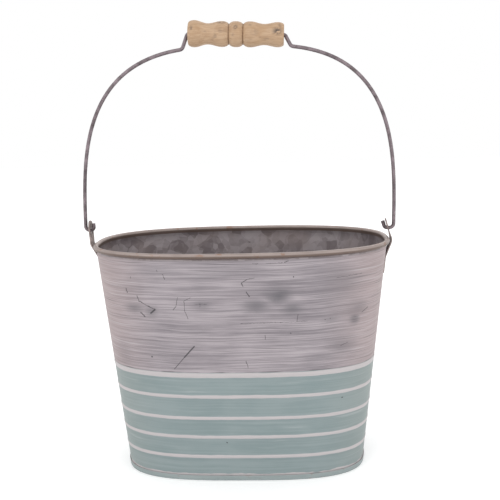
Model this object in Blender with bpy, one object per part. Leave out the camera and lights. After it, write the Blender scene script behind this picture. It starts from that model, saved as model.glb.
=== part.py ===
"""Oval sheet-steel sand bucket with a wire bail and a turned wooden grip.

Metres, +Z up, X along the oval's length, Y across it. The origin is the centre of the
base ring on the ground. The body is two identical half sheets, lapped at the narrow
ends, rolled over a wire at the rim and gripped by the folded edge of the base at the
foot. The bail swings about X through the two ear holes, and the grip turns on the bail.
"""
import math

import bmesh
import bpy
from mathutils import Matrix, Vector

# Body: outside sizes.
PAIL_HEIGHT = 0.1846
RIM_HALF_LENGTH = 0.1200
RIM_HALF_DEPTH = 0.0755
BASE_HALF_LENGTH = 0.0976
BASE_HALF_DEPTH = 0.0575
RIM_SQUARENESS = 2.56
BASE_SQUARENESS = 3.13
RIM_OVERHANG = 0.0020
SHEET = 0.0005
GAP = 0.0003

# Rolled rim and the wire inside it.
RIM_WIRE_RADIUS = 0.0012
CURL_END_ANGLE = math.radians(-110)
CURL_STEPS = 10
NECK_HEIGHT = 0.0035

# Raised ribs around the body, measured up from the ground.
RIB_LEVELS = (0.0205, 0.0373, 0.0532, 0.0711, 0.0887)
RIB_WIDTH = 0.0034
RIB_PROUD = 0.00035

# Lapped seams where the half sheets meet.
SEAM_TURN = -0.30
LAP_LENGTH = 0.0080
LAP_ABOVE_FLOOR = 0.0038
LAP_BELOW_RIM = 0.0140
JOGGLE_LENGTH = 0.0012
JOGGLE_HEIGHT = 0.0025

# Base: a recessed floor whose edge folds around the body's foot.
HEM_HEIGHT = 0.0044
FLOOR_RECESS = 0.0042
FLOOR_BEND = 0.0008

# Ears: heights on the flat blank are measured from its knee.
EAR_SHEET = 0.0010
EAR_FOOT_BELOW_KNEE = 0.0262
EAR_BEND_BELOW_KNEE = 0.0122
EAR_LEAN_ABOVE_KNEE = 0.0030
EAR_HOLE_ABOVE_KNEE = 0.0112
EAR_TIP_ABOVE_HOLE = 0.0080
EAR_HOLE_PLAY = 0.0012
EAR_HOLE_MARGIN = 0.0032
EAR_CORNER = 0.0030
LEFT_KNEE_BELOW_RIM = 0.0022
LEFT_KNEE_PROUD = 0.0045
LEFT_EAR_LEAN = math.radians(-3)
LEFT_EAR_TWIST = math.radians(-1.5)
RIGHT_KNEE_BELOW_RIM = 0.0044
RIGHT_KNEE_PROUD = 0.0023
RIGHT_EAR_LEAN = math.radians(16)
RIGHT_EAR_TWIST = math.radians(6.5)

# Bail. Its legs lean to one side, so the arch is shifted from its foot to its crown.
BAIL_WIRE_RADIUS = 0.0015
BAIL_BESIDE_RIM = 0.0064
BAIL_FOOT_SHIFT = -0.0023
BAIL_CROWN_SHIFT = 0.0004
ARCH_RISE = 0.1462
ARCH_SQUARENESS = 3.07
ARCH_FOOT = 0.0080
ARCH_POINTS = 16
HOOK_RISE = 0.0056
HOOK_CLEARANCE = 0.0006
HOOK_INNER_BEND = 0.0011
HOOK_OUTER_BEND = 0.0018
CRANK_RISE = 0.0086
CRANK_SPREAD = 0.0045
CRANK_BEND = 0.0020
MOUTH_OUT = 0.0009
MOUTH_BEND = 0.0010
BEND_STEP = math.radians(18)

# Grip: distances are measured along it from its middle.
GRIP_TILT = math.radians(2.4)
GRIP_HALF_LENGTH = 0.0377
GRIP_BORE_PLAY = 0.0009
MIDDLE_BEAD_RADIUS = 0.0099
LEFT_END_RADIUS = 0.0104
RIGHT_END_RADIUS = 0.0096
GROOVE_RADIUS = 0.0078
WAIST_RADIUS = 0.0081
END_FACE_INSET = 0.0022
GROOVE_AT = 0.0056
SHOULDER_AT = 0.0113
WAIST_AT = 0.0223
END_BEAD_AT = 0.0330
PROFILE_STEPS = 4

# Facets.
HALF_TURN_STEPS = 26
WIRE_SIDES = 8
GRIP_SIDES = 20

# Worked out from the sizes above.
LAP_FOOT = FLOOR_RECESS + LAP_ABOVE_FLOOR
BEAD_TUBE_RADIUS = RIM_WIRE_RADIUS + GAP + SHEET
CURL_RADIUS = RIM_WIRE_RADIUS + GAP + SHEET / 2
BEAD_LEVEL = PAIL_HEIGHT - BEAD_TUBE_RADIUS
BEAD_OFFSET = RIM_OVERHANG + SHEET / 2 - BEAD_TUBE_RADIUS
SHEET_PITCH = SHEET + GAP
EAR_OFFSET = SHEET / 2 + GAP + EAR_SHEET / 2
EAR_HOLE_RADIUS = BAIL_WIRE_RADIUS + EAR_HOLE_PLAY
EAR_HALF_WIDTH = EAR_HOLE_RADIUS + EAR_HOLE_MARGIN
LEFT_EAR = (LEFT_KNEE_BELOW_RIM, LEFT_KNEE_PROUD, LEFT_EAR_LEAN, LEFT_EAR_TWIST)
RIGHT_EAR = (RIGHT_KNEE_BELOW_RIM, RIGHT_KNEE_PROUD, RIGHT_EAR_LEAN, RIGHT_EAR_TWIST)
BAIL_HALF_WIDTH = RIM_HALF_LENGTH + BAIL_BESIDE_RIM
CRANK_RISE_FROM_PIVOT = ARCH_RISE + CRANK_RISE
MOUTH_AT = GRIP_HALF_LENGTH + MOUTH_OUT
CRANK_AT = MOUTH_AT + CRANK_SPREAD
GRIP_BORE_RADIUS = BAIL_WIRE_RADIUS + GRIP_BORE_PLAY

# Finishes: colour, metallic, roughness.
WHITEWASH = ((0.62, 0.59, 0.60, 1.0), 0.0, 0.60)
ZINC = ((0.42, 0.40, 0.41, 1.0), 0.8, 0.45)
DULL_STEEL = ((0.23, 0.21, 0.21, 1.0), 0.9, 0.50)
BEECH = ((0.66, 0.50, 0.34, 1.0), 0.0, 0.55)


def clear_scene():
    for thing in list(bpy.data.objects):
        bpy.data.objects.remove(thing, do_unlink=True)


def finish_material(name, finish):
    """A material of its own for one piece."""
    colour, metallic, roughness = finish
    material = bpy.data.materials.new(name + "_finish")
    material.use_nodes = True
    shader = material.node_tree.nodes["Principled BSDF"]
    shader.inputs["Base Color"].default_value = colour
    shader.inputs["Metallic"].default_value = metallic
    shader.inputs["Roughness"].default_value = roughness
    return material


def place(name, data, finish, origin=Vector()):
    """Put mesh or curve data in the scene; its points are given from the origin."""
    thing = bpy.data.objects.new(name, data)
    thing.location = origin
    data.materials.append(finish_material(name, finish))
    bpy.context.scene.collection.objects.link(thing)
    return thing


def smooth(mesh, angle=math.radians(35)):
    mesh.shade_smooth()
    mesh.set_sharp_from_angle(angle=angle)


def mix(low, high, share):
    return low + (high - low) * share


def add_thickness(thing, thickness):
    """Thicken a middle surface equally to both sides."""
    solid = thing.modifiers.new("Sheet", "SOLIDIFY")
    solid.thickness = thickness
    solid.offset = 0.0
    solid.use_even_offset = True


def grid_mesh(name, rows, wrap_rows=False, wrap_columns=False):
    """Quads over a grid of points; rows or columns can close on themselves.

    A point that is None has no vertex, and the quads that would use it are left out.
    """
    mesh = bpy.data.meshes.new(name)
    bm = bmesh.new()
    grid = [[bm.verts.new(p) if p is not None else None for p in row] for row in rows]
    row_count = len(grid)
    column_count = len(grid[0])
    for i in range(row_count if wrap_rows else row_count - 1):
        for j in range(column_count if wrap_columns else column_count - 1):
            below, above = grid[i], grid[(i + 1) % row_count]
            k = (j + 1) % column_count
            corners = (below[j], below[k], above[k], above[j])
            if None not in corners:
                bm.faces.new(corners)
    return mesh, bm


def close_mesh(mesh, bm):
    bmesh.ops.recalc_face_normals(bm, faces=bm.faces)
    bm.to_mesh(mesh)
    bm.free()
    smooth(mesh)
    return mesh


# ---------------------------------------------------------------- the oval

def oval_sizes(level):
    """Half length, half depth and squareness of the sheet's middle line at a level."""
    share = level / PAIL_HEIGHT
    half_x = mix(BASE_HALF_LENGTH, RIM_HALF_LENGTH - RIM_OVERHANG, share) - SHEET / 2
    half_y = mix(BASE_HALF_DEPTH, RIM_HALF_DEPTH - RIM_OVERHANG, share) - SHEET / 2
    return half_x, half_y, mix(BASE_SQUARENESS, RIM_SQUARENESS, share)


def squared_circle(turn, power):
    """A point on the unit circle, squared off: a power of 2 is the circle itself."""
    c, s = math.cos(turn), math.sin(turn)
    reach = (abs(c) ** power + abs(s) ** power) ** (-1 / power)
    return reach * c, reach * s


def oval_point(turn, level, offset, height):
    """A point on the body's outline for that level, moved out square to the outline."""
    half_x, half_y, power = oval_sizes(level)
    u, v = squared_circle(turn, power)
    across_x = math.copysign(abs(u) ** (power - 1) / half_x, u)
    across_y = math.copysign(abs(v) ** (power - 1) / half_y, v)
    scale = offset / math.hypot(across_x, across_y)
    return Vector((half_x * u + across_x * scale, half_y * v + across_y * scale, height))


def oval_end(level, y):
    """How far out the sheet's middle line is at y, near a narrow end."""
    half_x, half_y, power = oval_sizes(level)
    return half_x * (1 - abs(y / half_y) ** power) ** (1 / power)


# ---------------------------------------------------------------- the body

def curl_rows():
    """Level, offset and height of each row of the rolled rim, from inside over the top."""
    rows = []
    for i in range(CURL_STEPS + 1):
        angle = mix(math.pi, CURL_END_ANGLE, i / CURL_STEPS)
        offset = BEAD_OFFSET + CURL_RADIUS * math.cos(angle)
        rows.append((PAIL_HEIGHT, offset, BEAD_LEVEL + CURL_RADIUS * math.sin(angle)))
    return rows


def wall_rows():
    """Level, offset and height of each row of a half sheet, from the foot to the curl."""
    foot = SHEET + GAP
    rows = [(foot, 0.0, foot), (LAP_FOOT - JOGGLE_HEIGHT, 0.0, LAP_FOOT - JOGGLE_HEIGHT)]
    rows.append((LAP_FOOT, 0.0, LAP_FOOT))
    for level in RIB_LEVELS:
        for step, proud in ((-0.5, 0.0), (0.0, RIB_PROUD), (0.5, 0.0)):
            height = level + step * RIB_WIDTH
            rows.append((height, proud, height))
    lap_top = PAIL_HEIGHT - LAP_BELOW_RIM
    neck = BEAD_LEVEL - CURL_RADIUS - NECK_HEIGHT
    for height in (mix(rows[-1][0], lap_top, 0.5), lap_top, lap_top + JOGGLE_HEIGHT, neck):
        rows.append((height, 0.0, height))
    return rows + curl_rows()


def in_lap(row):
    return LAP_FOOT <= row[0] <= PAIL_HEIGHT - LAP_BELOW_RIM


def arc_turn(turn, distance):
    """The turn that lies a distance further round the outline, at half height."""
    level = PAIL_HEIGHT / 2
    step = 0.001
    span = (oval_point(turn + step, level, 0, 0) - oval_point(turn, level, 0, 0)).length
    return turn + step * distance / span


def lap_turns(seam):
    """Turns across the lap at a seam, the same on the tab and on the sheet that covers it."""
    return [arc_turn(seam, -share * LAP_LENGTH) for share in (0.5, 1.0)]


def sheet_turns():
    """Turns of a half sheet's columns, from its outer edge to where it starts to tuck in."""
    outer_edge = arc_turn(SEAM_TURN + math.pi, -GAP / 2)
    covering = lap_turns(SEAM_TURN + math.pi)
    before_joggle = arc_turn(SEAM_TURN, GAP / 2 + JOGGLE_LENGTH)
    steps = range(1, HALF_TURN_STEPS + 1)
    rest = [mix(covering[-1], before_joggle, i / HALF_TURN_STEPS) for i in steps]
    return [outer_edge] + covering + rest


def whole_turn():
    """The turns of both half sheets, so that what follows the wall has its facets."""
    return [turn - math.pi * half for half in (0, 1) for turn in sheet_turns()]


def wall_columns():
    """Turn and kind of each column of a half sheet, outer edge to tucked edge."""
    columns = [(turn, "sheet") for turn in sheet_turns()]
    columns.append((arc_turn(SEAM_TURN, GAP / 2), "edge"))
    return columns + [(turn, "tab") for turn in lap_turns(SEAM_TURN)]


def wall_point(row, column):
    """A point of the half sheet, or None where the tab has been cut away."""
    level, offset, height = row
    turn, kind = column
    if kind == "tab" and not in_lap(row):
        return None
    if kind != "sheet" and in_lap(row):
        offset -= SHEET_PITCH
    return oval_point(turn, level, offset, height)


def make_wall(name, half_turns):
    """One half sheet; the second one is the first turned half round."""
    columns = wall_columns()
    rows = [[wall_point(row, column) for column in columns] for row in wall_rows()]
    mesh, bm = grid_mesh(name, rows)
    bmesh.ops.rotate(bm, verts=bm.verts, matrix=Matrix.Rotation(math.pi * half_turns, 3, "Z"))
    close_mesh(mesh, bm)
    add_thickness(place(name, mesh, WHITEWASH), SHEET)


def make_rim_wire():
    rows = []
    for i in range(WIRE_SIDES):
        angle = math.tau * i / WIRE_SIDES
        offset = BEAD_OFFSET + RIM_WIRE_RADIUS * math.cos(angle)
        height = BEAD_LEVEL + RIM_WIRE_RADIUS * math.sin(angle)
        rows.append([oval_point(turn, PAIL_HEIGHT, offset, height) for turn in whole_turn()])
    mesh, bm = grid_mesh("rim_wire", rows, wrap_rows=True, wrap_columns=True)
    place("rim_wire", close_mesh(mesh, bm), DULL_STEEL)


def base_rows():
    """Offset and height of each row of the base, from the hem's outer lip to the floor."""
    low = SHEET / 2
    turn_in = SHEET_PITCH / 2
    inside = -SHEET_PITCH
    return (
        (SHEET_PITCH, HEM_HEIGHT),
        (SHEET_PITCH, low + turn_in),
        (turn_in, low),
        (-turn_in, low),
        (inside, low + turn_in),
        (inside, FLOOR_RECESS - FLOOR_BEND),
        (inside - FLOOR_BEND, FLOOR_RECESS),
    )


def make_base():
    rows = []
    for offset, height in base_rows():
        rows.append([oval_point(turn, height, offset, height) for turn in whole_turn()])
    mesh, bm = grid_mesh("base_plate", rows, wrap_columns=True)
    bm.faces.new(list(bm.verts)[-len(rows[-1]):])
    add_thickness(place("base_plate", close_mesh(mesh, bm), ZINC), SHEET)


# ---------------------------------------------------------------- the ears

def arc(centre, radius, start, end, steps):
    """Points of an arc in the flat blank, as pairs of across and height."""
    points = []
    for i in range(steps + 1):
        angle = mix(start, end, i / steps)
        points.append((centre[0] + radius * math.cos(angle), centre[1] + radius * math.sin(angle)))
    return points


def ear_outline():
    """The blank's outline, anticlockwise from the foot's lower right corner."""
    foot = -EAR_FOOT_BELOW_KNEE
    top = EAR_HOLE_ABOVE_KNEE + EAR_TIP_ABOVE_HOLE - EAR_HALF_WIDTH
    inset = EAR_HALF_WIDTH - EAR_CORNER
    right = arc((inset, foot + EAR_CORNER), EAR_CORNER, -math.pi / 2, 0, 4)
    crown = arc((0, top), EAR_HALF_WIDTH, 0, math.pi, 10)
    left = [(-across, height) for across, height in reversed(right)]
    return right + crown + left


def edge_loop(bm, points):
    verts = [bm.verts.new((0, across, height)) for across, height in points]
    return [bm.edges.new((verts[i - 1], verts[i])) for i in range(len(verts))]


def cut_blank(bm, point, normal):
    geometry = bm.verts[:] + bm.edges[:] + bm.faces[:]
    bmesh.ops.bisect_plane(bm, geom=geometry, plane_co=point, plane_no=normal, dist=1e-6)


def ear_blank():
    """The flat ear with its hole, scored along the lines where it will bend."""
    bm = bmesh.new()
    edges = edge_loop(bm, ear_outline())
    hole = arc((0, EAR_HOLE_ABOVE_KNEE), EAR_HOLE_RADIUS, 0, math.tau, 16)[:-1]
    edges += edge_loop(bm, hole)
    bmesh.ops.triangle_fill(bm, use_beauty=True, edges=edges)
    for height in (-EAR_BEND_BELOW_KNEE, 0, EAR_LEAN_ABOVE_KNEE, EAR_HOLE_ABOVE_KNEE):
        cut_blank(bm, (0, 0, height), (0, 0, 1))
    for share in (-0.5, 0.0, 0.5):
        cut_blank(bm, (0, share * EAR_HALF_WIDTH, 0), (0, 1, 0))
    return bm


def bent_ear_point(ear, across, height):
    """Reach from the middle of the bucket and level of a place on the blank, once bent."""
    knee_below_rim, knee_proud, lean, twist = ear
    knee_level = PAIL_HEIGHT - knee_below_rim
    knee_reach = RIM_HALF_LENGTH + knee_proud - EAR_SHEET / 2
    if height <= -EAR_BEND_BELOW_KNEE:
        level = knee_level + height
        return oval_end(level, across) + EAR_OFFSET, level
    if height <= 0:
        start = oval_end(knee_level - EAR_BEND_BELOW_KNEE, across) + EAR_OFFSET
        return mix(knee_reach, start, -height / EAR_BEND_BELOW_KNEE), knee_level + height
    if height <= EAR_LEAN_ABOVE_KNEE:
        return knee_reach, knee_level + height
    above = height - EAR_LEAN_ABOVE_KNEE
    turned = min(1.0, above / (EAR_HOLE_ABOVE_KNEE - EAR_LEAN_ABOVE_KNEE))
    reach = knee_reach - above * math.sin(lean) + across * math.tan(twist) * turned
    return reach, knee_level + EAR_LEAN_ABOVE_KNEE + above * math.cos(lean)


def make_ear(name, side, ear):
    """side is 1 for the ear at +X and -1 for the ear at -X."""
    bm = ear_blank()
    for vert in bm.verts:
        reach, level = bent_ear_point(ear, vert.co.y, vert.co.z)
        vert.co = (side * reach, vert.co.y, level)
    mesh = bpy.data.meshes.new(name)
    close_mesh(mesh, bm)
    add_thickness(place(name, mesh, ZINC), EAR_SHEET)


def hole_centre(side, ear):
    reach, level = bent_ear_point(ear, 0.0, EAR_HOLE_ABOVE_KNEE)
    return Vector((side * reach, 0, level))


# ---------------------------------------------------------------- the bail

def pivot():
    """The middle of the axis through both ear holes."""
    return (hole_centre(-1, LEFT_EAR) + hole_centre(1, RIGHT_EAR)) / 2


def fillet(before, corner, after, radius):
    """Points of the bend that replaces a corner between two straight runs."""
    to_before = (before - corner).normalized()
    to_after = (after - corner).normalized()
    half_angle = to_before.angle(to_after) / 2
    set_back = radius / math.tan(half_angle)
    middle = (to_before + to_after).normalized()
    centre = corner + middle * (radius / math.sin(half_angle))
    start = corner + to_before * set_back - centre
    axis = start.cross(corner + to_after * set_back - centre)
    sweep = math.pi - 2 * half_angle
    steps = max(2, round(sweep / BEND_STEP))
    return [centre + Matrix.Rotation(sweep * i / steps, 3, axis) @ start for i in range(steps + 1)]


def bend_wire(corners):
    """Round each corner; corners are (point, radius inside the bend), or None for no bend."""
    points = [corners[0][0]]
    for before, (corner, inside), after in zip(corners, corners[1:], corners[2:]):
        if inside is None:
            points.append(corner)
        else:
            points += fillet(before[0], corner, after[0], inside + BAIL_WIRE_RADIUS)
    points.append(corners[-1][0])
    return points


def arch_point(side, u, v):
    """A point of the arch from its place on the unit squared circle."""
    shift = mix(BAIL_FOOT_SHIFT, BAIL_CROWN_SHIFT, v)
    return Vector((side * BAIL_HALF_WIDTH * u + shift, 0, pivot().z + ARCH_RISE * v))


def arch_above(u):
    """Height on the unit squared circle at a distance from its middle."""
    return (1 - u ** ARCH_SQUARENESS) ** (1 / ARCH_SQUARENESS)


def grip_centre():
    return Vector((BAIL_CROWN_SHIFT, 0, pivot().z + CRANK_RISE_FROM_PIVOT))


def arch_corners(side):
    """The bail from just above a hook to the grip's mouth."""
    crank = CRANK_AT / BAIL_HALF_WIDTH
    flat_end = crank + 2 * (CRANK_BEND + BAIL_WIRE_RADIUS) / BAIL_HALF_WIDTH
    first = ARCH_FOOT / ARCH_RISE
    last = math.atan2(arch_above(flat_end), flat_end)
    corners = []
    for i in range(ARCH_POINTS):
        u, v = squared_circle(mix(first, last, i / (ARCH_POINTS - 1)), ARCH_SQUARENESS)
        corners.append((arch_point(side, u, v), None))
    corners.append((arch_point(side, crank, arch_above(crank)), CRANK_BEND))
    along = Matrix.Rotation(GRIP_TILT, 3, "Y") @ Vector((side * MOUTH_AT, 0, 0))
    corners.append((grip_centre() + along, MOUTH_BEND))
    return corners


def hook_corners(side, ear):
    """The bent end that passes through an ear, from its tip to the foot of the arch."""
    hole = hole_centre(side, ear)
    clear = EAR_SHEET / 2 + BAIL_WIRE_RADIUS + HOOK_CLEARANCE
    inner = hole - Vector((side * clear, 0, 0))
    outer = Vector((side * BAIL_HALF_WIDTH + BAIL_FOOT_SHIFT, 0, hole.z))
    spread = side * HOOK_RISE * math.tan(ear[2])
    tip = inner + Vector((-spread, 0, HOOK_RISE))
    return [(tip, None), (inner, HOOK_INNER_BEND), (outer, HOOK_OUTER_BEND)]


def make_bail():
    left = hook_corners(-1, LEFT_EAR) + arch_corners(-1)
    right = hook_corners(1, RIGHT_EAR) + arch_corners(1)
    points = bend_wire(left + right[::-1])
    curve = bpy.data.curves.new("bail_wire", "CURVE")
    curve.dimensions = "3D"
    curve.bevel_depth = BAIL_WIRE_RADIUS
    curve.bevel_resolution = 3
    curve.use_fill_caps = True
    spline = curve.splines.new("POLY")
    spline.points.add(len(points) - 1)
    for spot, point in zip(spline.points, points):
        spot.co = (*(point - pivot()), 1.0)
    place("bail_wire", curve, DULL_STEEL, pivot())


# ---------------------------------------------------------------- the grip

def grip_outline(end_radius):
    """Distance from the middle and radius, down one half of the turned outline."""
    stations = (
        (0.0, MIDDLE_BEAD_RADIUS),
        (GROOVE_AT, GROOVE_RADIUS),
        (SHOULDER_AT, MIDDLE_BEAD_RADIUS),
        (WAIST_AT, WAIST_RADIUS),
        (END_BEAD_AT, end_radius),
    )
    outline = []
    for (start, low), (end, high) in zip(stations, stations[1:]):
        for i in range(PROFILE_STEPS):
            share = i / PROFILE_STEPS
            outline.append((mix(start, end, share), mix(low, high, (1 - math.cos(math.pi * share)) / 2)))
    for i in range(PROFILE_STEPS + 1):
        angle = math.pi / 2 * i / PROFILE_STEPS
        along = mix(END_BEAD_AT, GRIP_HALF_LENGTH, math.sin(angle))
        outline.append((along, end_radius - END_FACE_INSET * (1 - math.cos(angle))))
    return outline


def make_grip():
    right = grip_outline(RIGHT_END_RADIUS)
    left = [(-along, radius) for along, radius in reversed(grip_outline(LEFT_END_RADIUS)[1:])]
    outline = left + right
    outline += [(GRIP_HALF_LENGTH, GRIP_BORE_RADIUS), (-GRIP_HALF_LENGTH, GRIP_BORE_RADIUS)]
    rows = []
    for along, radius in outline:
        ring = [math.tau * i / GRIP_SIDES for i in range(GRIP_SIDES)]
        rows.append([Vector((along, radius * math.cos(a), radius * math.sin(a))) for a in ring])
    mesh, bm = grid_mesh("grip", rows, wrap_rows=True, wrap_columns=True)
    grip = place("grip", close_mesh(mesh, bm), BEECH, grip_centre())
    grip.rotation_euler = (0, GRIP_TILT, 0)


def main():
    clear_scene()
    make_wall("wall_back", 0)
    make_wall("wall_front", 1)
    make_rim_wire()
    make_base()
    make_ear("ear_left", -1, LEFT_EAR)
    make_ear("ear_right", 1, RIGHT_EAR)
    make_bail()
    make_grip()


main()
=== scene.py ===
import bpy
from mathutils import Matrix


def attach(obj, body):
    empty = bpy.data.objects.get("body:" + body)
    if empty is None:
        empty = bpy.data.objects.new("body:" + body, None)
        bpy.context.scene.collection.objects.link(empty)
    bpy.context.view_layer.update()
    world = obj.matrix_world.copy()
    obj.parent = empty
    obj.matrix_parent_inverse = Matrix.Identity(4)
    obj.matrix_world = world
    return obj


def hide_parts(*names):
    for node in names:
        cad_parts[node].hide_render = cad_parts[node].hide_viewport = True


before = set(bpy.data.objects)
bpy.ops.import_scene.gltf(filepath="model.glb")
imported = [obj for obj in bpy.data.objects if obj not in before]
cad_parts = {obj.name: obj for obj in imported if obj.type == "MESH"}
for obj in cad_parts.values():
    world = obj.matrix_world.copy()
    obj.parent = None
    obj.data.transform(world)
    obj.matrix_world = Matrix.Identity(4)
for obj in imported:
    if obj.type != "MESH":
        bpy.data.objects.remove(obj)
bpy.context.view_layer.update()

import math

import bmesh
import bpy
from mathutils import Matrix, Vector

# An oval sand bucket of whitewashed zinc, with upright ears, a wire bail and a turned grip.
# Sizes of the bucket in metres, nearly all of them those of the CAD.
PAIL_HEIGHT = 0.1846
RIM_HALF_LENGTH, RIM_HALF_DEPTH = 0.1200, 0.0755
BASE_HALF_LENGTH, BASE_HALF_DEPTH = 0.0976, 0.0575
RIM_SQUARENESS, BASE_SQUARENESS = 2.56, 3.13
RIM_OVERHANG = 0.0020
SHEET, GAP = 0.0005, 0.0003
SHEET_PITCH = SHEET + GAP
RIM_WIRE_RADIUS = 0.0012
BEAD_TUBE_RADIUS = RIM_WIRE_RADIUS + GAP + SHEET
CURL_RADIUS = RIM_WIRE_RADIUS + GAP + SHEET / 2
CURL_END_ANGLE = math.radians(-110)
BEAD_LEVEL = PAIL_HEIGHT - BEAD_TUBE_RADIUS
BEAD_OFFSET = RIM_OVERHANG + SHEET / 2 - BEAD_TUBE_RADIUS
NECK_LEVEL = BEAD_LEVEL - CURL_RADIUS - 0.0035
RIB_LEVELS = (0.0205, 0.0373, 0.0532, 0.0711, 0.0887)
RIB_WIDTH, RIB_PROUD = 0.0034, 0.00035
SEAM_TURN = -0.30
LAP_LENGTH, JOGGLE_LENGTH, JOGGLE_HEIGHT = 0.0080, 0.0012, 0.0025
LAP_FOOT, LAP_TOP = 0.0080, PAIL_HEIGHT - 0.0140
HEM_HEIGHT, FLOOR_RECESS, FLOOR_BEND = 0.0044, 0.0042, 0.0008
# The slack when two heights are compared, and how many facets go round the oval.
HAIR, OVAL_STEPS = 1e-6, 240

EAR_SHEET = 0.0010
EAR_FOOT_BELOW_KNEE, EAR_BEND_BELOW_KNEE = 0.0262, 0.0122
EAR_LEAN_ABOVE_KNEE, EAR_HOLE_ABOVE_KNEE, EAR_TIP_ABOVE_HOLE = 0.0030, 0.0112, 0.0080
EAR_HOLE_RADIUS, EAR_HALF_WIDTH, EAR_CORNER = 0.0027, 0.0059, 0.0030
EAR_OFFSET = SHEET / 2 + GAP + EAR_SHEET / 2
# A quarter of the length over which a bend of the ears is eased, and the rounding of their edges.
EAR_EASE, EAR_EDGE = 0.0004, 0.00018
# Each ear: its knee below the rim and out from it, then the lean and the twist of its top.
LEFT_EAR = (0.0022, 0.0045, math.radians(-3), math.radians(-1.5))
RIGHT_EAR = (0.0044, 0.0023, math.radians(16), math.radians(6.5))

BAIL_WIRE_RADIUS = 0.0015
BAIL_HALF_WIDTH = RIM_HALF_LENGTH + 0.0064
BAIL_FOOT_SHIFT, BAIL_CROWN_SHIFT = -0.0023, 0.0004
ARCH_RISE, ARCH_SQUARENESS, ARCH_FOOT = 0.1462, 3.07, 0.0080
# The clearance is 0.08 mm more than in the CAD, so that the rounder wire clears the ear as it swings.
HOOK_RISE, HOOK_CLEARANCE = 0.0056, 0.00068
HOOK_INNER_BEND, HOOK_OUTER_BEND = 0.0011, 0.0018
CRANK_RISE, CRANK_SPREAD, CRANK_BEND = 0.0086, 0.0045, 0.0020
MOUTH_OUT, MOUTH_BEND = 0.0009, 0.0010

GRIP_TILT = math.radians(2.4)
GRIP_HALF_LENGTH, GRIP_BORE_RADIUS = 0.0377, 0.0024
MIDDLE_BEAD_RADIUS, LEFT_END_RADIUS, RIGHT_END_RADIUS = 0.0099, 0.0104, 0.0096
GROOVE_RADIUS, WAIST_RADIUS, END_FACE_INSET = 0.0078, 0.0081, 0.0022
GROOVE_AT, SHOULDER_AT, WAIST_AT, END_BEAD_AT = 0.0056, 0.0113, 0.0223, 0.0330
GROOVE_STEEPNESS, BORE_CHAMFER = 2.8, 0.0006

# Heights of the band's top, of the dark line over it and of the thin white line above the hem.
BAND_TOP, DARK_LINE_LEVEL, HEM_LINE_LEVEL = 0.0909, 0.0913, 0.0049
# Half widths of the white on the ribs, and how softly an edge of the paint ends to each side.
RIB_PAINT_HALF, TOP_RIB_PAINT_HALF, PAINT_EDGE = 0.00135, 0.0019, 0.0003

# Scratches and specks in the whitewash of the front: start and end along and up, and width, in mm.
SCRATCHES = (
    (-34, 112.4, -42, 103.5, 1.0), (-42, 103.5, -50.5, 93.5, 0.5),
    (-77, 151, -75.5, 147, 0.6), (-75.5, 147, -68.5, 143.5, 0.45), (-68.5, 143.5, -63, 141, 0.7),
    (-63, 141, -66.5, 138, 1.2), (-74.5, 138, -71.5, 135, 0.9),
    (-45, 151, -46.5, 144, 0.32), (-46.5, 144, -49, 141, 0.4),
    (-35, 151, -40, 148.6, 0.3), (-40, 148.6, -40, 141, 0.32), (-40, 141, -37.5, 134.4, 0.4),
    (-32, 146, -23, 146, 0.25), (-28, 147, -28, 144, 0.25), (-55.4, 169, -54, 165, 0.4),
    (-60, 172, -59.5, 171, 0.4), (-81.5, 166, -81.5, 164.5, 0.4), (-86, 156, -85, 153, 0.6),
    (-68, 103, -67.6, 102.6, 0.9), (3.4, 162, 8, 165, 0.5), (8, 165, 13, 165.6, 0.3),
    (3.4, 162, 4.5, 159.5, 0.6), (7, 155, 9, 151.5, 0.75), (42, 166, 42, 165.4, 0.6),
    (39, 122, 39.4, 122, 0.8), (45, 136.5, 44, 131, 0.42), (2, 130.5, 52, 130.9, 0.26),
    (65, 131, 65.4, 131, 0.6), (69, 131.7, 69.2, 131.7, 0.5), (20, 121, 20, 117.5, 0.4),
    (77, 109, 83, 111, 0.3), (5, 100.6, 6.4, 95, 0.34), (94, 133, 99, 136, 0.4),
    (74, 163, 94, 164, 0.22), (35.5, 177, 38.5, 178, 0.45), (22, 176.5, 34, 176.8, 0.24),
    (12, 176.8, 16, 176.4, 0.3), (-12, 33, -11.7, 32.6, 0.9), (78, 66, 78.4, 65.8, 0.8),
)
# Soft smudges in it: middle along and up, half width and half height in mm, and how dark.
SMUDGES = (
    (30, 153, 12, 9, 1.0), (14, 144, 13, 7, 0.65), (41, 141, 10, 6, 0.70), (88, 129, 5, 5, 1.0),
    (-80, 141, 9, 5, 0.50), (78, 109, 13, 8, 0.45), (76, 160, 18, 14, 0.45), (70, 131, 9, 3, 0.40),
    (90, 137, 9, 9, 0.45), (-66, 139, 6, 5, 0.45), (-27, 145, 9, 4, 0.40), (62, 102, 16, 4, 0.35),
    (-60, 171, 22, 4, 0.30), (-8, 170, 30, 5, 0.25), (-92, 104, 8, 12, 0.30),
)
# Smudges on the front of the grip: along it and up it, half width and half height in mm, how dark.
GRIP_SMUDGES = (
    (32.5, 2.0, 4.2, 3.2, 1.0), (34.5, 6.5, 1.8, 2.2, 0.6), (0.0, 4.6, 2.0, 2.2, 0.8),
    (-34.5, 3.0, 1.8, 2.6, 0.6), (-11.5, 8.4, 4.0, 1.4, 0.7), (-12.0, 2.0, 5.0, 2.5, 0.30),
    (15.0, 1.0, 4.0, 3.0, 0.30), (11.0, 7.0, 2.0, 2.0, 0.35),
)


def mix(low, high, share):
    return low + (high - low) * share


# ------------------------------------------------------------------ working by hand

def select_only(piece):
    bpy.ops.object.select_all(action="DESELECT")
    piece.select_set(True)
    bpy.context.view_layer.objects.active = piece


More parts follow.
